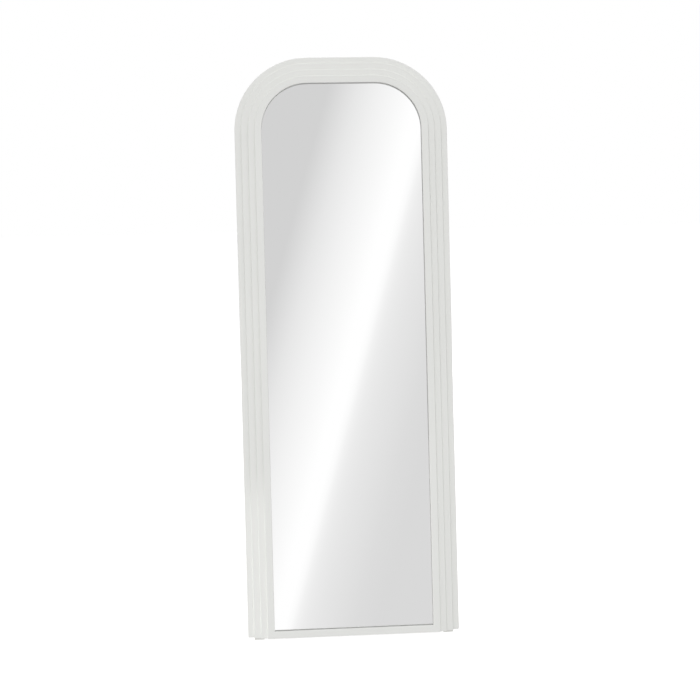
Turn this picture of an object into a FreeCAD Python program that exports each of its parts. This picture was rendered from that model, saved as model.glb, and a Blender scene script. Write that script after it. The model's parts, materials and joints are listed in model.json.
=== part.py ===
import FreeCAD, Part
import math
import os

# A free-standing full-length mirror. Its frame is a squared arch built up from four flat tiers that step
# forward towards the glass. It leans back on a folding stand of bent tube, hinged behind the two stiles.
#
# Millimetres. Each piece is drawn on the upright panel, with X across, Z up from the bottom edge and Y to
# the back, where Y = 0 is the frame's rear face. place() then leans the whole panel back and sets it down
# with the origin on the floor, under the middle of the mirror.

Vector = FreeCAD.Vector
X_AXIS = Vector(1, 0, 0)
Y_AXIS = Vector(0, 1, 0)

# Frame
WIDTH = 600.0
HEIGHT = 1630.0
CORNER_RADIUS = 205.5         # outer radius of the two top corners
LEAN = 8.0                    # degrees back from vertical
TIER_THICKNESS = 8.0
ROUNDING = 1.5                # round-over on the painted edges
OPENING_INSET = 75.5          # from the frame's outer edge to the visible glass
POCKET_INSET = 67.0           # to the edge of the pocket that holds the glass
RECESS_INSET = 52.0           # to the edge of the recess that holds the backing board
RAIL_HEIGHT = 20.0            # front of the bottom rail
POCKET_BOTTOM = 12.0          # the ledge that the glass stands on
SILL_HEIGHT = 36.0
SPRING_LINE = HEIGHT - CORNER_RADIUS      # where the straight sides turn into the top corners
TOP_HALF = WIDTH / 2 - CORNER_RADIUS      # half the straight stretch of the top
SEAM_STAGGER = 80.0           # neighbouring tiers are seamed this far apart, so each one ties the next

# name, inset of its outer edge, inset of its inner edge, height of the seam between stile and head
TIERS = (
    ("outer_tier", 0.0, RECESS_INSET, SPRING_LINE),
    ("second_tier", 17.5, RECESS_INSET, SPRING_LINE - SEAM_STAGGER),
    ("third_tier", 37.0, POCKET_INSET, SPRING_LINE),
    ("lip_tier", 55.5, OPENING_INSET, SPRING_LINE - SEAM_STAGGER),
)
DEPTH = TIER_THICKNESS * len(TIERS)

# Glass and backing
GLASS_THICKNESS = 4.0
TAPE_THICKNESS = 3.0
TAPE_SETBACK = 1.0            # from the edge of the opening, so that the tape hides behind the lip
BOARD_THICKNESS = 3.0
EDGE_GAP = 1.0                # around the glass and the board
BLOCK_HEIGHT = 1.5            # setting blocks under the glass
BLOCK_LENGTH = 40.0
BLOCK_X = 120.0

# Dowels
DOWEL_RADIUS = 3.0
DOWEL_LENGTH = 30.0

# Stand and hinge
HINGE_X = 268.0               # middle of each leg
HINGE_BACK = 14.0             # hinge axis behind the rear face
HINGE_HEIGHT = 1000.0         # along the panel
OPEN_ANGLE = 14.0             # between the open stand and the panel
TUBE_RADIUS = 8.0
TUBE_WALL = 1.5
BEND_RADIUS = 50.0
SLEEVE_RADIUS = 11.0
SLEEVE_FLAT = 9.8             # from the tube's middle to the flat under the sleeve
SLEEVE_LENGTH = 36.0
SLEEVE_X = 190.0
STOP_GAP = 0.3                # between the end plug and the bracket that stops it
PLUG_FLANGE = 2.0
PLUG_STEM = 8.0
BRACKET_SHEET = 2.0
BRACKET_LENGTH = 104.0
EAR_GAP = 10.15               # from the leg's middle to the inside of each ear
EAR_ROOT = 18.0
EAR_RADIUS = 9.0
BOLT_RADIUS = 3.0
RUNNING_GAP = 0.05            # radial clearance of the turning fits
BUSH_RADIUS = 4.5
WASHER_RADIUS = 7.0
WASHER_THICKNESS = 2.0

# Feet and bumpers
PAD_RISE = 3.0                # lifts the frame's rear bottom edge off the floor
PAD_DEPTH = 15.0
PAD_WIDTH = 28.0
BUMPER_RADIUS = 7.0
BUMPER_THICKNESS = 5.5
BUMPER_HEIGHTS = (120.0, 1400.0)

# Hangers
HANGER_HEIGHT = 1310.0        # axis of the ring, along the panel
HANGER_SHEET = 1.25
HANGER_HALF_WIDTH = 9.0
HANGER_LENGTH = 46.0
RING_WIRE = 1.6               # radius of the wire
RING_STRAIGHT = 11.0          # half-length of the straight bar
RING_CORNER = 4.0
RING_RADIUS = RING_STRAIGHT + RING_CORNER

# Screws: head radius, head height, shank radius, shank length under the head
BACKING_SCREW = (4.0, 2.0, 1.6, 9.0)
BRACKET_SCREW = (4.0, 2.6, 2.0, 14.0)
HANGER_SCREW = (3.4, 2.0, 1.6, 14.0)
BACKING_SCREW_HEIGHTS = (110.0, 370.0, 630.0, 890.0, 1150.0, 1400.0)
BRACKET_SCREW_OFFSETS = (-43.0, -28.0, 28.0, 43.0)
HANGER_SCREW_DROPS = (27.0, 39.0)

SIDES = (("left", -1), ("right", 1))
REACH = 2.0                               # how far a cutting solid runs past what it cuts


def stand_length():
    """From the hinge axis to the middle of the base bar, so that the sleeves' flats lie on the floor."""
    lean = math.radians(LEAN)
    hinge = HINGE_HEIGHT * math.cos(lean) - HINGE_BACK * math.sin(lean) + PAD_RISE
    return (hinge - SLEEVE_FLAT) / math.cos(math.radians(OPEN_ANGLE - LEAN))


def centring_shift():
    """Moves the origin to the middle between the frame's front edge and the back of the stand."""
    lean = math.radians(LEAN)
    front = -DEPTH * math.cos(lean)
    hinge = HINGE_HEIGHT * math.sin(lean) + HINGE_BACK * math.cos(lean)
    back = hinge + STAND_LENGTH * math.sin(math.radians(OPEN_ANGLE - LEAN)) + SLEEVE_RADIUS
    return -(front + back) / 2


STAND_LENGTH = stand_length()
SHIFT_BACK = centring_shift()


def place(shape):
    """Lean a finished piece back with the panel and set it on the floor."""
    placed = shape.copy()
    placed.rotate(Vector(0, 0, 0), X_AXIS, -LEAN)
    placed.translate(Vector(0, SHIFT_BACK, PAD_RISE))
    return placed


def save(node, shape):
    if not shape.isValid():
        raise ValueError("invalid shape: " + node)
    place(shape).exportStep("parts/" + node + ".step")


def box(x0, x1, y0, y1, z0, z1):
    return Part.makeBox(x1 - x0, y1 - y0, z1 - z0, Vector(x0, y0, z0))


def rod_x(x0, x1, y, z, radius):
    """A round bar along X."""
    return Part.makeCylinder(radius, x1 - x0, Vector(x0, y, z), X_AXIS)


def rod_y(x, y0, y1, z, radius):
    """A round bar along Y."""
    return Part.makeCylinder(radius, y1 - y0, Vector(x, y0, z), Y_AXIS)


def along_side(side, near, far):
    """The two X values of a span measured outwards from the middle, low one first."""
    return sorted((side * near, side * far))


# ---------------------------------------------------------------- squared-arch outlines

def arch_plate(inset, bottom, front, back):
    """A flat plate with the frame's outline, drawn in from its outer edge by inset."""
    half = WIDTH / 2 - inset
    radius = CORNER_RADIUS - inset
    top = HEIGHT - inset
    diagonal = radius * math.sqrt(0.5)

    def point(x, z):
        return Vector(x, front, z)

    left_arc = (point(-half, SPRING_LINE), point(-TOP_HALF - diagonal, SPRING_LINE + diagonal),
                point(-TOP_HALF, top))
    right_arc = (point(TOP_HALF, top), point(TOP_HALF + diagonal, SPRING_LINE + diagonal),
                 point(half, SPRING_LINE))
    edges = [
        Part.LineSegment(point(-half, bottom), left_arc[0]).toShape(),
        Part.Arc(*left_arc).toShape(),
        Part.LineSegment(left_arc[2], right_arc[0]).toShape(),
        Part.Arc(*right_arc).toShape(),
        Part.LineSegment(right_arc[2], point(half, bottom)).toShape(),
        Part.LineSegment(point(half, bottom), point(-half, bottom)).toShape(),
    ]
    return Part.Face(Part.Wire(edges)).extrude(Vector(0, back - front, 0))


def arch_ring(outer, inner, outer_bottom, inner_bottom, front, back):
    """A plate with a smaller one taken out of it. An inner bottom below the outer one leaves it open."""
    hole = arch_plate(inner, inner_bottom, front - REACH, back + REACH)
    return arch_plate(outer, outer_bottom, front, back).cut(hole)


def inset_of(point):
    """How far inside the frame's outer edge a point of the panel is, along the sides and the top."""
    beyond = abs(point.x) - TOP_HALF
    above = point.z - SPRING_LINE
    if above <= 0:
        return WIDTH / 2 - abs(point.x)
    if beyond <= 0:
        return HEIGHT - point.z
    return CORNER_RADIUS - math.hypot(beyond, above)


def round_over(shape, y, wanted):
    """Round the edges that lie in the plane at y and whose middle point is wanted."""
    chosen = []
    for edge in shape.Edges:
        flat = all(abs(vertex.Y - y) < 1e-6 for vertex in edge.Vertexes)
        middle = edge.valueAt((edge.FirstParameter + edge.LastParameter) / 2)
        if flat and wanted(middle):
            chosen.append(edge)
    return shape.makeFillet(ROUNDING, chosen)


def arch_point(inset, degrees):
    """A point on the right-hand top corner, at an angle above the horizontal."""
    radius = CORNER_RADIUS - inset
    angle = math.radians(degrees)
    return TOP_HALF + radius * math.cos(angle), SPRING_LINE + radius * math.sin(angle)


# ---------------------------------------------------------------- screws

def screw(x, z, y, size):
    """A cross-recessed pan-head screw driven forwards, its head seated on the face at y."""
    head_radius, head_height, shank_radius, length = size
    head = rod_y(x, y, y + head_height, z, head_radius)
    rim = [edge for edge in head.Edges if abs(edge.CenterOfMass.y - y - head_height) < 1e-6]
    head = head.makeFillet(head_height * 0.45, rim)
    slot = head_radius * 0.55
    blade = head_radius * 0.13
    floor = y + head_height * 0.4
    top = y + head_height + REACH
    for across, up in ((slot, blade), (blade, slot)):
        head = head.cut(box(x - across, x + across, floor, top, z - up, z + up))
    return head.fuse(rod_y(x, y - length, y, z, shank_radius)).removeSplitter()


def screw_hole(x, z, y, size):
    """The hole that the shank of such a screw fills."""
    return rod_y(x, y - size[3], y + REACH, z, size[2])


def backing_screw_places():
    middle = (RECESS_INSET + EDGE_GAP + POCKET_INSET) / 2
    places = []
    for height in BACKING_SCREW_HEIGHTS:
        places += [(-WIDTH / 2 + middle, height), (WIDTH / 2 - middle, height)]
    x, z = arch_point(middle, 45)
    places += [(-x, z), (x, z)]
    top = HEIGHT - middle
    return places + [(-TOP_HALF, top), (0, top), (TOP_HALF, top)]


def bracket_screw_places():
    return [(side * HINGE_X, HINGE_HEIGHT + offset) for _, side in SIDES for offset in BRACKET_SCREW_OFFSETS]


def hanger_screw_places():
    return [(side * HINGE_X, HANGER_HEIGHT - drop) for _, side in SIDES for drop in HANGER_SCREW_DROPS]


BOARD_REAR = -2 * TIER_THICKNESS + BOARD_THICKNESS
SCREW_SETS = (
    ("backing_screws", backing_screw_places(), BOARD_REAR, BACKING_SCREW),
    ("bracket_screws", bracket_screw_places(), BRACKET_SHEET, BRACKET_SCREW),
    ("hanger_screws", hanger_screw_places(), HANGER_SHEET, HANGER_SCREW),
)


def all_screw_holes():
    holes = []
    for _, places, y, size in SCREW_SETS:
        holes += [screw_hole(x, z, y, size) for x, z in places]
    return holes


# ---------------------------------------------------------------- dowels

def dowels():
    """One dowel through each end of the bottom rail and two through each end of the rear sill."""
    pins = []
    for _, side in SIDES:
        for inset, y, z in (
            (POCKET_INSET, -2.5 * TIER_THICKNESS, POCKET_BOTTOM / 2),
            (RECESS_INSET, -TIER_THICKNESS, SILL_HEIGHT * 0.28),
            (RECESS_INSET, -TIER_THICKNESS, SILL_HEIGHT * 0.72),
        ):
            joint = WIDTH / 2 - inset
            x0, x1 = along_side(side, joint - DOWEL_LENGTH / 2, joint + DOWEL_LENGTH / 2)
            pins.append(rod_x(x0, x1, y, z, DOWEL_RADIUS))
    return pins


# ---------------------------------------------------------------- frame

def tier_blank(index):
    """One tier in a single piece, rounded along the edges that show."""
    _, outer, inner, _ = TIERS[index]
    back = -index * TIER_THICKNESS
    front = back - TIER_THICKNESS
    is_lip = index == len(TIERS) - 1
    blank = arch_ring(outer, inner, 0, RAIL_HEIGHT if is_lip else -REACH, front, back)
    blank = round_over(blank, front, lambda p: abs(inset_of(p) - outer) < 0.01)
    if is_lip:
        rail_half = WIDTH / 2 - OPENING_INSET

        def around_opening(p):
            on_rail = abs(p.z - RAIL_HEIGHT) < 0.01 and abs(p.x) < rail_half
            return on_rail or abs(inset_of(p) - inner) < 0.01

        blank = round_over(blank, front, around_opening)
    if index == 0:
        blank = round_over(blank, back, lambda p: abs(inset_of(p) - outer) < 0.01)
    return blank


def frame_tiers(bores):
    """Left stile, right stile and head of every tier. Returns the middle of the lip tier's bottom too."""
    inner = WIDTH / 2 - OPENING_INSET
    outer = WIDTH / 2 + REACH
    lip_bottom = None
    for index, (name, _, _, seam) in enumerate(TIERS):
        blank = tier_blank(index)
        if index == len(TIERS) - 1:
            lip_bottom = blank.common(box(-inner, inner, -DEPTH - REACH, REACH, -REACH, RAIL_HEIGHT))
        blank = blank.cut(Part.Compound(bores))
        head = blank.common(box(-outer, outer, -DEPTH - REACH, REACH, seam, HEIGHT + REACH))
        save(name + "_head", head)
        for side_name, side in SIDES:
            x0, x1 = along_side(side, inner, outer)
            stile = blank.common(box(x0, x1, -DEPTH - REACH, REACH, -REACH, seam))
            save(name + "_stile_" + side_name, stile)
    return lip_bottom


def bottom_rail(lip_bottom, bores):
    """The plain front rail, with the ledge behind it that the glass stands on."""
    half = WIDTH / 2 - POCKET_INSET
    ledge = box(-half, half, -3 * TIER_THICKNESS, -2 * TIER_THICKNESS, 0, POCKET_BOTTOM)
    rail = lip_bottom.fuse(ledge).removeSplitter()
    save("bottom_rail", rail.cut(Part.Compound(bores)))


def rear_sill(bores):
    half = WIDTH / 2 - RECESS_INSET
    sill = box(-half, half, BOARD_REAR, 0, 0, SILL_HEIGHT)
    save("rear_sill", sill.cut(Part.Compound(bores)))


# ---------------------------------------------------------------- glass and backing

def glazing():
    lip_rear = -3 * TIER_THICKNESS
    glass_front = lip_rear + TAPE_THICKNESS
    glass_rear = glass_front + GLASS_THICKNESS
    board_front = -2 * TIER_THICKNESS
    glass_bottom = POCKET_BOTTOM + BLOCK_HEIGHT
    glass_inset = POCKET_INSET + EDGE_GAP

    glass = arch_plate(glass_inset, glass_bottom, glass_front, glass_rear)
    save("mirror_glass", glass)

    tape = arch_ring(glass_inset + EDGE_GAP, OPENING_INSET - TAPE_SETBACK, glass_bottom + EDGE_GAP,
                     RAIL_HEIGHT - TAPE_SETBACK, lip_rear, glass_front)
    save("glass_tape", tape)

    blocks = []
    for _, side in SIDES:
        middle = side * BLOCK_X
        blocks.append(box(middle - BLOCK_LENGTH / 2, middle + BLOCK_LENGTH / 2, glass_front, glass_rear,
                          POCKET_BOTTOM, glass_bottom))
    save("setting_blocks", Part.Compound(blocks))

    save("foam_liner", arch_plate(glass_inset + EDGE_GAP, glass_bottom, glass_rear, board_front))

    board = arch_plate(RECESS_INSET + EDGE_GAP, REACH, board_front, BOARD_REAR)
    holes = [screw_hole(x, z, BOARD_REAR, BACKING_SCREW) for x, z in backing_screw_places()]
    save("backing_board", board.cut(Part.Compound(holes)))


def screws():
    for node, places, y, size in SCREW_SETS:
        save(node, Part.Compound([screw(x, z, y, size) for x, z in places]))


# ---------------------------------------------------------------- hinge, fixed half

def bracket_ear(x0):
    """One ear of the bracket, tapering to a round end about the hinge axis."""
    def point(y, z):
        return Vector(x0, y, HINGE_HEIGHT + z)

    tip = HINGE_BACK + EAR_RADIUS
    edges = [
        Part.LineSegment(point(0, -EAR_ROOT), point(HINGE_BACK, -EAR_RADIUS)).toShape(),
        Part.Arc(point(HINGE_BACK, -EAR_RADIUS), point(tip, 0), point(HINGE_BACK, EAR_RADIUS)).toShape(),
        Part.LineSegment(point(HINGE_BACK, EAR_RADIUS), point(0, EAR_ROOT)).toShape(),
        Part.LineSegment(point(0, EAR_ROOT), point(0, -EAR_ROOT)).toShape(),
    ]
    return Part.Face(Part.Wire(edges)).extrude(Vector(BRACKET_SHEET, 0, 0))


def hinge_brackets():
    """A strip screwed to the stile, with two ears that hold the pivot bolt."""
    half = EAR_GAP + BRACKET_SHEET
    for side_name, side in SIDES:
        middle = side * HINGE_X
        z0 = HINGE_HEIGHT - BRACKET_LENGTH / 2
        strip = box(middle - half, middle + half, 0, BRACKET_SHEET, z0, z0 + BRACKET_LENGTH)
        corners = [edge for edge in strip.Edges if abs(edge.tangentAt(0).y) > 0.99]
        strip = strip.makeFillet(5.0, corners)
        ears = [bracket_ear(middle - half), bracket_ear(middle + EAR_GAP)]
        bracket = strip.fuse(ears).removeSplitter()
        cuts = [screw_hole(x, z, BRACKET_SHEET, BRACKET_SCREW) for x, z in bracket_screw_places()]
        cuts.append(rod_x(middle - half - REACH, middle + half + REACH, HINGE_BACK, HINGE_HEIGHT, BOLT_RADIUS))
        save("hinge_bracket_" + side_name, bracket.cut(Part.Compound(cuts)))


def hexagon(x0, x1, across_flats):
    """A hexagonal prism about the hinge axis."""
    radius = across_flats / math.sqrt(3)
    corners = []
    for turn in range(7):
        angle = math.radians(60 * turn)
        corners.append(Vector(x0, HINGE_BACK + radius * math.cos(angle),
                              HINGE_HEIGHT + radius * math.sin(angle)))
    return Part.Face(Part.makePolygon(corners)).extrude(Vector(x1 - x0, 0, 0))


def pivots():
    """Bolt with its head outwards, lock nut inwards, and a washer against each ear."""
    outside = EAR_GAP + BRACKET_SHEET
    head_height = 3.4
    head_radius = 5.3
    socket_flats = 4.0
    nut_flats = 10.0
    nut_height = 5.0
    collar_height = 1.6
    for side_name, side in SIDES:
        def span(near, far):
            return along_side(side, HINGE_X + near, HINGE_X + far)

        shank = rod_x(*span(-outside - nut_height - collar_height, outside), HINGE_BACK, HINGE_HEIGHT,
                      BOLT_RADIUS)
        head = rod_x(*span(outside, outside + head_height), HINGE_BACK, HINGE_HEIGHT, head_radius)
        far_face = side * (HINGE_X + outside + head_height)
        rim = [edge for edge in head.Edges if abs(edge.CenterOfMass.x - far_face) < 1e-6]
        head = head.makeFillet(head_height * 0.6, rim)
        head = head.cut(hexagon(*span(outside + head_height / 2, outside + head_height + REACH), socket_flats))
        save("pivot_bolt_" + side_name, shank.fuse(head).removeSplitter())

        nut = hexagon(*span(-outside - nut_height, -outside), nut_flats)
        collar = rod_x(*span(-outside - nut_height - collar_height, -outside - nut_height), HINGE_BACK,
                       HINGE_HEIGHT, nut_flats * 0.44)
        nut = nut.fuse(collar).removeSplitter()
        save("lock_nut_" + side_name, nut.cut(shank))

        washers = []
        for near, far in ((EAR_GAP - WASHER_THICKNESS, EAR_GAP), (-EAR_GAP, WASHER_THICKNESS - EAR_GAP)):
            washer = rod_x(*span(near, far), HINGE_BACK, HINGE_HEIGHT, WASHER_RADIUS)
            washers.append(washer.cut(shank))
        save("pivot_washers_" + side_name, Part.Compound(washers))


# ---------------------------------------------------------------- stand

def open_out(shape):
    """Turn a piece drawn about the hinge with the stand folded flat to where it is with the stand open."""
    opened = shape.copy()
    opened.rotate(Vector(0, 0, 0), X_AXIS, OPEN_ANGLE)
    opened.translate(Vector(0, HINGE_BACK, HINGE_HEIGHT))
    return opened


def leg_top():
    """Height of the plug above the hinge axis, where it meets the bracket strip as the stand opens."""
    angle = math.radians(OPEN_ANGLE)
    room = HINGE_BACK - BRACKET_SHEET - STOP_GAP
    return (room - TUBE_RADIUS * math.cos(angle)) / math.sin(angle)


def u_pipe(radius, top):
    """A round bar bent into a U, down one leg, along the base bar and up the other leg."""
    base = -STAND_LENGTH
    mid = BEND_RADIUS * (1 - math.sqrt(0.5))
    left_bend = (Vector(-HINGE_X, 0, base + BEND_RADIUS), Vector(-HINGE_X + mid, 0, base + mid),
                 Vector(-HINGE_X + BEND_RADIUS, 0, base))
    right_bend = (Vector(HINGE_X - BEND_RADIUS, 0, base), Vector(HINGE_X - mid, 0, base + mid),
                  Vector(HINGE_X, 0, base + BEND_RADIUS))
    path = Part.Wire([
        Part.LineSegment(Vector(-HINGE_X, 0, top), left_bend[0]).toShape(),
        Part.Arc(*left_bend).toShape(),
        Part.LineSegment(left_bend[2], right_bend[0]).toShape(),
        Part.Arc(*right_bend).toShape(),
        Part.LineSegment(right_bend[2], Vector(HINGE_X, 0, top)).toShape(),
    ])
    section = Part.Wire(Part.Circle(Vector(-HINGE_X, 0, top), Vector(0, 0, 1), radius).toShape())
    return path.makePipe(Part.Face(section))


def stand():
    flange_top = leg_top()
    tube_top = flange_top - PLUG_FLANGE
    bore_radius = TUBE_RADIUS - TUBE_WALL
    tube = u_pipe(TUBE_RADIUS, tube_top).cut(u_pipe(bore_radius, tube_top))
    cross_holes = [rod_x(side * HINGE_X - 2 * TUBE_RADIUS, side * HINGE_X + 2 * TUBE_RADIUS, 0, 0, BUSH_RADIUS)
                   for _, side in SIDES]
    save("stand_tube", open_out(tube.cut(Part.Compound(cross_holes))))

    for side_name, side in SIDES:
        x = side * HINGE_X
        bush = rod_x(x - TUBE_RADIUS, x + TUBE_RADIUS, 0, 0, BUSH_RADIUS)
        bush = bush.cut(rod_x(x - TUBE_RADIUS - REACH, x + TUBE_RADIUS + REACH, 0, 0, BOLT_RADIUS + RUNNING_GAP))
        save("pivot_bush_" + side_name, open_out(bush))

        flange = Part.makeCylinder(TUBE_RADIUS, PLUG_FLANGE, Vector(x, 0, tube_top))
        stem = Part.makeCylinder(bore_radius, PLUG_STEM, Vector(x, 0, tube_top - PLUG_STEM))
        save("tube_plug_" + side_name, open_out(flange.fuse(stem).removeSplitter()))
        save("foot_sleeve_" + side_name, open_out(foot_sleeve(side * SLEEVE_X)))


def foot_sleeve(x):
    """A rubber sleeve on the base bar, with a flat that lies on the floor when the stand is open."""
    x0 = x - SLEEVE_LENGTH / 2
    x1 = x + SLEEVE_LENGTH / 2
    sleeve = rod_x(x0, x1, 0, -STAND_LENGTH, SLEEVE_RADIUS)
    ends = [edge for edge in sleeve.Edges if abs(abs(edge.CenterOfMass.x - x) - SLEEVE_LENGTH / 2) < 1e-6]
    sleeve = sleeve.makeFillet(1.2, ends)
    below = box(x0 - REACH, x1 + REACH, -2 * SLEEVE_RADIUS, 2 * SLEEVE_RADIUS,
                -STAND_LENGTH - 2 * SLEEVE_RADIUS, -STAND_LENGTH - SLEEVE_FLAT)
    below.rotate(Vector(0, 0, -STAND_LENGTH), X_AXIS, LEAN - OPEN_ANGLE)
    bore = rod_x(x0 - REACH, x1 + REACH, 0, -STAND_LENGTH, TUBE_RADIUS)
    return sleeve.cut(below).cut(bore)


# ---------------------------------------------------------------- feet and bumpers

def foot_pads():
    """Rubber wedges under the stiles. Their undersides are level while the panel leans."""
    lean = math.radians(LEAN)

    def underside(y):
        return (y * math.sin(lean) - PAD_RISE) / math.cos(lean)

    for side_name, side in SIDES:
        x0 = side * HINGE_X - PAD_WIDTH / 2
        section = [Vector(x0, 0, 0), Vector(x0, -PAD_DEPTH, 0), Vector(x0, -PAD_DEPTH, underside(-PAD_DEPTH)),
                   Vector(x0, 0, underside(0)), Vector(x0, 0, 0)]
        save("foot_pad_" + side_name, Part.Face(Part.makePolygon(section)).extrude(Vector(PAD_WIDTH, 0, 0)))


def rear_bumpers():
    """The lower pair meets the folded stand, and the upper pair keeps the frame off a wall."""
    bumpers = []
    for _, side in SIDES:
        for height in BUMPER_HEIGHTS:
            bumper = rod_y(side * HINGE_X, 0, BUMPER_THICKNESS, height, BUMPER_RADIUS)
            rim = [edge for edge in bumper.Edges if abs(edge.CenterOfMass.y - BUMPER_THICKNESS) < 1e-6]
            bumpers.append(bumper.makeFillet(1.5, rim))
    save("rear_bumpers", Part.Compound(bumpers))


# ---------------------------------------------------------------- hangers

def hanger_plate(x):
    """A strap screwed to the stile, its top curled round the straight bar of the ring."""
    curl = RING_WIRE + RUNNING_GAP + HANGER_SHEET
    meeting = math.acos(1 - HANGER_SHEET / curl)      # where the curl comes back to the strap

    def point(y, z):
        return Vector(x - HANGER_HALF_WIDTH, y, HANGER_HEIGHT + z)

    meeting_point = point(HANGER_SHEET, -curl * math.sin(meeting))
    edges = [
        Part.LineSegment(point(0, -HANGER_LENGTH), point(0, 0)).toShape(),
        Part.Arc(point(0, 0), point(2 * curl, 0), meeting_point).toShape(),
        Part.LineSegment(meeting_point, point(HANGER_SHEET, -HANGER_LENGTH)).toShape(),
        Part.LineSegment(point(HANGER_SHEET, -HANGER_LENGTH), point(0, -HANGER_LENGTH)).toShape(),
    ]
    plate = Part.Face(Part.Wire(edges)).extrude(Vector(2 * HANGER_HALF_WIDTH, 0, 0))
    low = [edge for edge in plate.Edges
           if abs(edge.tangentAt(0).y) > 0.99 and edge.CenterOfMass.z < HANGER_HEIGHT - HANGER_LENGTH / 2]
    plate = plate.makeFillet(5.0, low)
    cuts = [screw_hole(px, pz, HANGER_SHEET, HANGER_SCREW) for px, pz in hanger_screw_places()]
    cuts.append(rod_x(x - 2 * HANGER_HALF_WIDTH, x + 2 * HANGER_HALF_WIDTH, curl, HANGER_HEIGHT,
                      RING_WIRE + RUNNING_GAP))
    return plate.cut(Part.Compound(cuts))


def d_ring(x):
    """A closed loop of wire, a straight bar and a half round, drawn hanging plumb on the leaning panel."""
    axis_back = RING_WIRE + RUNNING_GAP + HANGER_SHEET
    corner = RING_CORNER * (1 - math.sqrt(0.5))

    def point(across, down):
        return Vector(x + across, axis_back, HANGER_HEIGHT - down)

    start = point(-RING_STRAIGHT, 0)
    path = Part.Wire([
        Part.LineSegment(start, point(RING_STRAIGHT, 0)).toShape(),
        Part.Arc(point(RING_STRAIGHT, 0), point(RING_RADIUS - corner, corner),
                 point(RING_RADIUS, RING_CORNER)).toShape(),
        Part.Arc(point(RING_RADIUS, RING_CORNER), point(0, RING_CORNER + RING_RADIUS),
                 point(-RING_RADIUS, RING_CORNER)).toShape(),
        Part.Arc(point(-RING_RADIUS, RING_CORNER), point(corner - RING_RADIUS, corner), start).toShape(),
    ])
    section = Part.Wire(Part.Circle(start, X_AXIS, RING_WIRE).toShape())
    ring = path.makePipe(Part.Face(section))
    ring.rotate(point(0, 0), X_AXIS, LEAN)
    return ring


def hangers():
    for side_name, side in SIDES:
        save("hanger_plate_" + side_name, hanger_plate(side * HINGE_X))
        save("d_ring_" + side_name, d_ring(side * HINGE_X))


def main():
    os.makedirs("parts", exist_ok=True)
    pins = dowels()
    bores = pins + all_screw_holes()
    lip_bottom = frame_tiers(bores)
    bottom_rail(lip_bottom, bores)
    rear_sill(bores)
    save("rail_dowels", Part.Compound(pins))
    glazing()
    screws()
    hinge_brackets()
    pivots()
    stand()
    foot_pads()
    rear_bumpers()
    hangers()


main()
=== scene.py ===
import json
import math

import bpy
from mathutils import Matrix, Vector


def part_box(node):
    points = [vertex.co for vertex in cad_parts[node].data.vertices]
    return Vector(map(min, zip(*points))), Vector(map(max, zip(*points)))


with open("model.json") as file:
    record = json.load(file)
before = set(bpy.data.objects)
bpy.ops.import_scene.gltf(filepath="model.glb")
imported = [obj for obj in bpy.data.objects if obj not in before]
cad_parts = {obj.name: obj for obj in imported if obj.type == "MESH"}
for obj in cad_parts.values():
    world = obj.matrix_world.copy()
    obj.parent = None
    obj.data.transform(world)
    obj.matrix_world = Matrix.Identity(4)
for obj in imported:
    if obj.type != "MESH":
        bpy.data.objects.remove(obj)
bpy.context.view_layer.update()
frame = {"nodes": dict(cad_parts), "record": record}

# The panel leans back by this much. Places on it are given as the joiner would: x across from the middle,
# y behind its rear face, z up from its bottom edge, in metres.
LEAN = math.radians(8.0)

# Camera, placed and turned in the panel's own axes
CAMERA_PLACE = (-0.210, -3.394, 0.859)
CAMERA_YAW = math.radians(3.697)
CAMERA_PITCH = math.radians(-0.917)
CAMERA_ROLL = math.radians(-1.473)
CAMERA_LENS = 61.7                      # mm
CAMERA_SENSOR = 36                      # mm wide

# Display levels, 0 to 255. A drift is how much darker a material's second tone is.
PAINT_LEVEL = (236, 236.6, 233.6)
PAINT_DRIFT = 2
PLASTIC_DRIFT = 6

# Share of the light that the glass sends back
MIRROR_REFLECTANCE = 0.94

# The surround looks pure white to the camera. It is dimmer as a source of light, so that white paint stands
# out from it.
AMBIENT = 0.5

# The floor's own glow and the light on it add up to pure white.
FLOOR_SIZE = 40                         # m
FLOOR_GLOW = 0.7
FLOOR_ALBEDO = 0.7


def linear(level):
    """The linear value of a display level."""
    share = level / 255
    return share / 12.92 if share <= 0.04045 else ((share + 0.055) / 1.055) ** 2.4


def colour(levels):
    """A node colour from three display levels."""
    return tuple(linear(level) for level in levels) + (1.0,)


def panel_to_world():
    """Places the panel's own axes in the row frame. Its rear edge is its lowest, over the pads' rear."""
    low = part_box("outer_tier_stile_left")[0]
    rear_bottom = Vector((0.0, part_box("foot_pad_left")[1].y, low.z))
    return Matrix.Translation(rear_bottom) @ Matrix.Rotation(-LEAN, 4, "X")


PANEL = panel_to_world()


# ---------------------------------------------------------------- node helpers

def new_material(name):
    """A material, its nodes, its links and its Principled shader."""
    material = bpy.data.materials.new(name)
    material.use_nodes = True
    nodes = material.node_tree.nodes
    shader = nodes.get("Principled BSDF")
    return material, nodes, material.node_tree.links, shader


def place_coordinates(nodes):
    """The place on the piece, in metres."""
    return nodes.new("ShaderNodeTexCoord").outputs["Object"]


def noise(nodes, links, scale, detail, roughness=0.5):
    """A noise that varies about this many times a metre."""
    texture = nodes.new("ShaderNodeTexNoise")
    texture.inputs["Scale"].default_value = scale
    texture.inputs["Detail"].default_value = detail
    texture.inputs["Roughness"].default_value = roughness
    links.new(place_coordinates(nodes), texture.inputs["Vector"])
    return texture.outputs["Fac"]


# Blender's noise keeps mostly to this stretch of 0 to 1.
NOISE_LOW = 0.3
NOISE_HIGH = 0.7


def spread(nodes, links, source, low=0.0, high=1.0):
    """Maps a noise's usual stretch onto low to high."""
    node = nodes.new("ShaderNodeMapRange")
    node.inputs["From Min"].default_value = NOISE_LOW
    node.inputs["From Max"].default_value = NOISE_HIGH
    node.inputs["To Min"].default_value = low
    node.inputs["To Max"].default_value = high
    links.new(source, node.inputs["Value"])
    return node.outputs["Result"]


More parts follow.
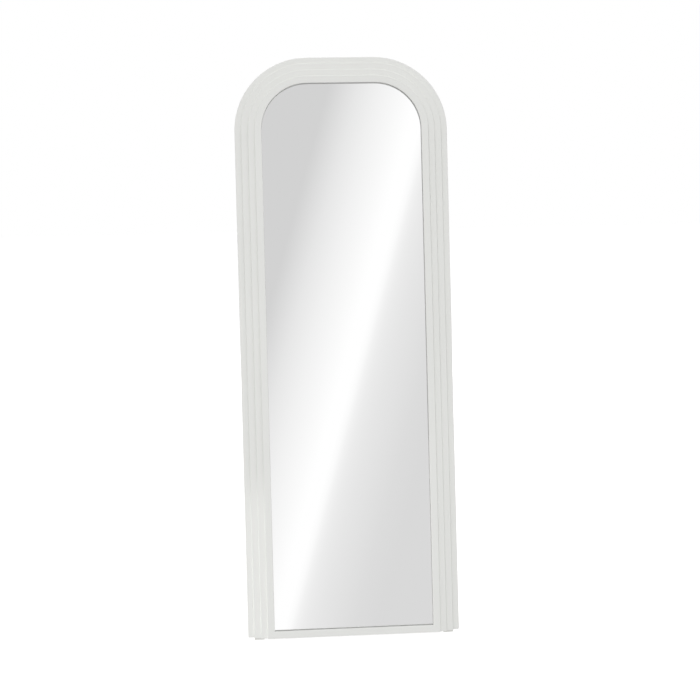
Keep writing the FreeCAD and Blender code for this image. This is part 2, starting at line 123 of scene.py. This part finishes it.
def two_tone(nodes, links, factor, first, second):
    """A colour that runs from first to second as the factor runs from 0 to 1."""
    mix = nodes.new("ShaderNodeMix")
    mix.data_type = "RGBA"
    mix.inputs["A"].default_value = first
    mix.inputs["B"].default_value = second
    links.new(factor, mix.inputs["Factor"])
    return mix.outputs["Result"]


def bump(nodes, links, height, distance):
    """A surface relief of this depth in metres."""
    node = nodes.new("ShaderNodeBump")
    node.inputs["Distance"].default_value = distance
    node.inputs["Strength"].default_value = 1.0
    links.new(height, node.inputs["Height"])
    return node.outputs["Normal"]


# ---------------------------------------------------------------- materials

def lacquer():
    """Sprayed satin lacquer: a trace of orange peel, and slow drifts of shade and gloss."""
    material, nodes, links, shader = new_material("satin_lacquer")
    drift = spread(nodes, links, noise(nodes, links, scale=3.0, detail=2.0))
    light = colour(PAINT_LEVEL)
    dark = colour(tuple(level - PAINT_DRIFT for level in PAINT_LEVEL))
    links.new(two_tone(nodes, links, drift, light, dark), shader.inputs["Base Color"])
    gloss = noise(nodes, links, scale=40.0, detail=3.0)
    links.new(spread(nodes, links, gloss, low=0.42, high=0.5), shader.inputs["Roughness"])
    peel = noise(nodes, links, scale=420.0, detail=2.0)
    links.new(bump(nodes, links, peel, distance=0.00004), shader.inputs["Normal"])
    return material


def silvered_glass():
    """A flat mirror with faint wiping marks."""
    material, nodes, links, shader = new_material("silvered_glass")
    shader.inputs["Base Color"].default_value = (MIRROR_REFLECTANCE,) * 3 + (1.0,)
    shader.inputs["Metallic"].default_value = 1.0
    wipe = noise(nodes, links, scale=6.0, detail=6.0, roughness=0.7)
    links.new(spread(nodes, links, wipe, low=0.0, high=0.02), shader.inputs["Roughness"])
    return material


def hardboard():
    """Pressed brown fibre: fine dark fibres over slow clouds of shade."""
    material, nodes, links, shader = new_material("hardboard")
    fibre = noise(nodes, links, scale=420.0, detail=8.0, roughness=0.7)
    cloud = spread(nodes, links, noise(nodes, links, scale=5.0, detail=4.0, roughness=0.6))
    pale = two_tone(nodes, links, cloud, colour((146, 110, 79)), colour((134, 99, 70)))
    tone = nodes.new("ShaderNodeMix")
    tone.data_type = "RGBA"
    tone.inputs["B"].default_value = colour((114, 82, 56))
    links.new(pale, tone.inputs["A"])
    links.new(spread(nodes, links, fibre, low=0.0, high=0.8), tone.inputs["Factor"])
    links.new(tone.outputs["Result"], shader.inputs["Base Color"])
    shader.inputs["Roughness"].default_value = 0.72
    links.new(bump(nodes, links, fibre, distance=0.0001), shader.inputs["Normal"])
    return material


def powder_coat():
    """Baked white powder on steel, with its fine grain."""
    material, nodes, links, shader = new_material("powder_coat")
    grain = noise(nodes, links, scale=900.0, detail=2.0)
    drift = spread(nodes, links, noise(nodes, links, scale=12.0, detail=2.0))
    links.new(two_tone(nodes, links, drift, colour((222, 222, 218)), colour((216, 216, 212))),
              shader.inputs["Base Color"])
    shader.inputs["Roughness"].default_value = 0.48
    links.new(bump(nodes, links, grain, distance=0.00008), shader.inputs["Normal"])
    return material


def zinc():
    """Bright zinc plate, with small patches of shade and gloss."""
    material, nodes, links, shader = new_material("zinc_plate")
    shader.inputs["Metallic"].default_value = 1.0
    patch = spread(nodes, links, noise(nodes, links, scale=160.0, detail=5.0, roughness=0.65))
    links.new(two_tone(nodes, links, patch, colour((205, 208, 210)), colour((186, 189, 192))),
              shader.inputs["Base Color"])
    gloss = noise(nodes, links, scale=300.0, detail=4.0)
    links.new(spread(nodes, links, gloss, low=0.24, high=0.4), shader.inputs["Roughness"])
    return material


def rubber(name, clean, dusty):
    """Matt rubber between these two display colours, where dust has settled."""
    material, nodes, links, shader = new_material(name)
    dust = spread(nodes, links, noise(nodes, links, scale=90.0, detail=5.0, roughness=0.7))
    links.new(two_tone(nodes, links, dust, colour(clean), colour(dusty)), shader.inputs["Base Color"])
    shader.inputs["Roughness"].default_value = 0.78
    skin = noise(nodes, links, scale=700.0, detail=2.0)
    links.new(bump(nodes, links, skin, distance=0.00006), shader.inputs["Normal"])
    return material


def plastic(name, levels, roughness):
    """Moulded plastic or foam of this display colour, with a fine skin."""
    material, nodes, links, shader = new_material(name)
    drift = spread(nodes, links, noise(nodes, links, scale=60.0, detail=3.0))
    darker = colour(tuple(level - PLASTIC_DRIFT for level in levels))
    links.new(two_tone(nodes, links, drift, colour(levels), darker), shader.inputs["Base Color"])
    shader.inputs["Roughness"].default_value = roughness
    skin = noise(nodes, links, scale=1200.0, detail=2.0)
    links.new(bump(nodes, links, skin, distance=0.00002), shader.inputs["Normal"])
    return material


def beech():
    """Pale hardwood with its short flecks."""
    material, nodes, links, shader = new_material("beech")
    flecks = spread(nodes, links, noise(nodes, links, scale=500.0, detail=6.0, roughness=0.7))
    links.new(two_tone(nodes, links, flecks, colour((205, 175, 138)), colour((184, 149, 112))),
              shader.inputs["Base Color"])
    shader.inputs["Roughness"].default_value = 0.6
    return material


def dress_nodes():
    """Gives every CAD node the material of its slot."""
    made = {
        "painted_frame": lacquer(),
        "mirror_glass": silvered_glass(),
        "hardboard": hardboard(),
        "coated_tube": powder_coat(),
        "zinc_steel": zinc(),
        "rubber": rubber("black_rubber", clean=(38, 38, 39), dusty=(52, 52, 53)),
        "white_rubber": rubber("white_rubber", clean=(226, 226, 222), dusty=(216, 216, 211)),
        "nylon": plastic("nylon", (225, 222, 210), roughness=0.4),
        "black_plastic": plastic("black_plastic", (34, 34, 35), roughness=0.45),
        "foam": plastic("foam", (226, 226, 226), roughness=0.9),
        # The glazing tape is a real part, but its grey is painted shade: it is made darker than the white
        # foam so that it draws the shaded line along the glass edge.
        "glazing_foam": plastic("glazing_foam", (110, 110, 110), roughness=0.9),
        "beech_dowel": beech(),
    }
    for entry in frame["record"]["subparts"]:
        node = frame["nodes"][entry["node"]]
        node.data.materials.clear()
        node.data.materials.append(made[entry["material_slot"]])


# ---------------------------------------------------------------- studio

def add_object(name, data):
    """Puts the data into the scene as an object."""
    made = bpy.data.objects.new(name, data)
    bpy.context.scene.collection.objects.link(made)
    return made


def flat_sheet(name, width, height):
    """A rectangle in its own XY plane, facing +Z."""
    mesh = bpy.data.meshes.new(name)
    x = width / 2
    y = height / 2
    mesh.from_pydata([(-x, -y, 0), (x, -y, 0), (x, y, 0), (-x, y, 0)], [], [(0, 1, 2, 3)])
    return add_object(name, mesh)


def make_floor():
    """White paper that the object stands on. It lights nothing and is in no reflection."""
    floor = flat_sheet("floor", FLOOR_SIZE, FLOOR_SIZE)
    material, nodes, links, shader = new_material("floor_paper")
    shader.inputs["Base Color"].default_value = (FLOOR_ALBEDO,) * 3 + (1,)
    shader.inputs["Roughness"].default_value = 1.0
    shader.inputs["Specular IOR Level"].default_value = 0.0
    shader.inputs["Emission Color"].default_value = (1, 1, 1, 1)
    shader.inputs["Emission Strength"].default_value = FLOOR_GLOW
    floor.data.materials.append(material)
    floor.visible_diffuse = False
    floor.visible_glossy = False
    floor.visible_transmission = False
    floor.visible_shadow = False


# What the glass reflects: a big card behind the camera, parallel to the panel. Its light runs in slanted
# bands. Each stop is a distance across the bands in metres and the display level seen in the glass. The
# middle stops are what the main camera sees, and the outer ones give the glass something soft to reflect
# from other sides.
CARD_AWAY = 5.0
CARD_SIZE = 16.0
BAND_SLANT = 0.298
BAND_STOPS = (
    (-5.0, 212), (-4.2, 232), (-3.4, 244), (-2.6, 226), (-1.8, 204), (-1.1, 210),
    (-0.53, 210), (-0.44, 220), (-0.33, 231), (-0.18, 241), (0.01, 251), (0.09, 255), (0.19, 255),
    (0.22, 251), (0.27, 240), (0.32, 235), (0.41, 230), (0.67, 220), (0.83, 217),
    (1.35, 217), (2.0, 224), (2.8, 242), (3.6, 230), (4.4, 206), (5.2, 214),
)


def make_card():
    """The card, which shows in reflections and nowhere else."""
    card = flat_sheet("reflected_card", CARD_SIZE, CARD_SIZE)
    card.matrix_world = PANEL @ Matrix.Translation((0, -CARD_AWAY, 0)) @ Matrix.Rotation(-math.pi / 2, 4, "X")
    material = bpy.data.materials.new("card_light")
    material.use_nodes = True
    nodes = material.node_tree.nodes
    links = material.node_tree.links
    nodes.clear()
    split = nodes.new("ShaderNodeSeparateXYZ")
    links.new(place_coordinates(nodes), split.inputs[0])

    # The card's own -Y is the panel's up.
    across = nodes.new("ShaderNodeMath")
    across.operation = "MULTIPLY_ADD"
    across.inputs[1].default_value = BAND_SLANT
    links.new(split.outputs["Y"], across.inputs[0])
    links.new(split.outputs["X"], across.inputs[2])

    first = BAND_STOPS[0][0]
    last = BAND_STOPS[-1][0]
    along = nodes.new("ShaderNodeMapRange")
    along.inputs["From Min"].default_value = first
    along.inputs["From Max"].default_value = last
    links.new(across.outputs[0], along.inputs["Value"])

    ramp = nodes.new("ShaderNodeValToRGB")
    while len(ramp.color_ramp.elements) > 1:
        ramp.color_ramp.elements.remove(ramp.color_ramp.elements[-1])
    for index, (distance, level) in enumerate(BAND_STOPS):
        place = (distance - first) / (last - first)
        stop = ramp.color_ramp.elements[0] if index == 0 else ramp.color_ramp.elements.new(place)
        stop.position = place
        stop.color = (linear(level) / MIRROR_REFLECTANCE,) * 3 + (1,)
    links.new(along.outputs["Result"], ramp.inputs["Fac"])

    glow = nodes.new("ShaderNodeEmission")
    links.new(ramp.outputs["Color"], glow.inputs["Color"])
    output = nodes.new("ShaderNodeOutputMaterial")
    links.new(glow.outputs[0], output.inputs["Surface"])
    card.data.materials.append(material)
    card.visible_camera = False
    card.visible_diffuse = False
    card.visible_shadow = False


def make_world():
    """An even, soft surround. The camera sees it as pure white."""
    world = bpy.data.worlds.new("studio")
    bpy.context.scene.world = world
    world.use_nodes = True
    nodes = world.node_tree.nodes
    links = world.node_tree.links
    ray = nodes.new("ShaderNodeLightPath")
    level = nodes.new("ShaderNodeMapRange")
    level.inputs["To Min"].default_value = AMBIENT
    level.inputs["To Max"].default_value = 1.0
    links.new(ray.outputs["Is Camera Ray"], level.inputs["Value"])
    links.new(level.outputs["Result"], nodes["Background"].inputs["Strength"])
    nodes["Background"].inputs["Color"].default_value = (1, 1, 1, 1)


def add_lamp(name, data, place, aim, power):
    """Hangs a lamp at a place, turned to its aim. It is in no reflection."""
    data.energy = power
    lamp = add_object(name, data)
    lamp.location = place
    lamp.rotation_mode = "QUATERNION"
    lamp.rotation_quaternion = (Vector(aim) - Vector(place)).to_track_quat("-Z", "Y")
    lamp.visible_glossy = False


def soft_light(name, place, aim, size, power):
    """A square panel of light, with sides of this size."""
    data = bpy.data.lights.new(name, "AREA")
    data.shape = "SQUARE"
    data.size = size
    add_lamp(name, data, place, aim, power)


def soft_spot(name, place, aim, width, radius, power):
    """A spot whose beam is this wide where it lands."""
    data = bpy.data.lights.new(name, "SPOT")
    throw = (Vector(aim) - Vector(place)).length
    data.spot_size = 2 * math.atan(width / 2 / throw)
    data.spot_blend = 0.5
    data.shadow_soft_size = radius
    add_lamp(name, data, place, aim, power)


def make_lights():
    """Big lights in front, overhead and behind. Low down, the small ones and the spot even out the frame."""
    soft_spot("edge", place=(-1.9, -0.22, 0.05), aim=(0.1, -0.12, 0.1), width=0.95, radius=0.05, power=45)
    soft_light("low_left", place=(-1.1, -0.7, 0.35), aim=(-0.25, 0, 0.4), size=0.5, power=0.5)
    soft_light("low_right", place=(0.8, -1.7, 0.2), aim=(0.1, 0, 0.5), size=0.5, power=2.3)
    soft_light("front", place=(-0.8, -4.8, 1.8), aim=(0, 0, 0.8), size=1.5, power=64)
    soft_light("overhead", place=(0, -0.3, 7.0), aim=(0, 0, 0.8), size=2.0, power=110)
    soft_light("back", place=(1.2, 4.5, 2.4), aim=(0, 0, 0.8), size=2.0, power=75)


def make_camera():
    """Yaw turns it to the right, pitch upwards, and roll about its line of sight."""
    yaw, pitch, roll = CAMERA_YAW, CAMERA_PITCH, CAMERA_ROLL
    forward = Vector((math.sin(yaw) * math.cos(pitch), math.cos(yaw) * math.cos(pitch), math.sin(pitch)))
    level = Vector((math.cos(yaw), -math.sin(yaw), 0))
    upright = level.cross(forward)
    right = math.cos(roll) * level + math.sin(roll) * upright
    up = math.cos(roll) * upright - math.sin(roll) * level
    turn = Matrix((right, up, -forward)).transposed().to_4x4()
    data = bpy.data.cameras.new("camera")
    data.lens = CAMERA_LENS
    data.sensor_width = CAMERA_SENSOR
    camera = add_object("camera", data)
    camera.matrix_world = PANEL @ Matrix.Translation(CAMERA_PLACE) @ turn
    bpy.context.scene.camera = camera


bpy.context.scene.view_settings.view_transform = "Standard"
dress_nodes()
make_floor()
make_card()
make_world()
make_lights()
make_camera()
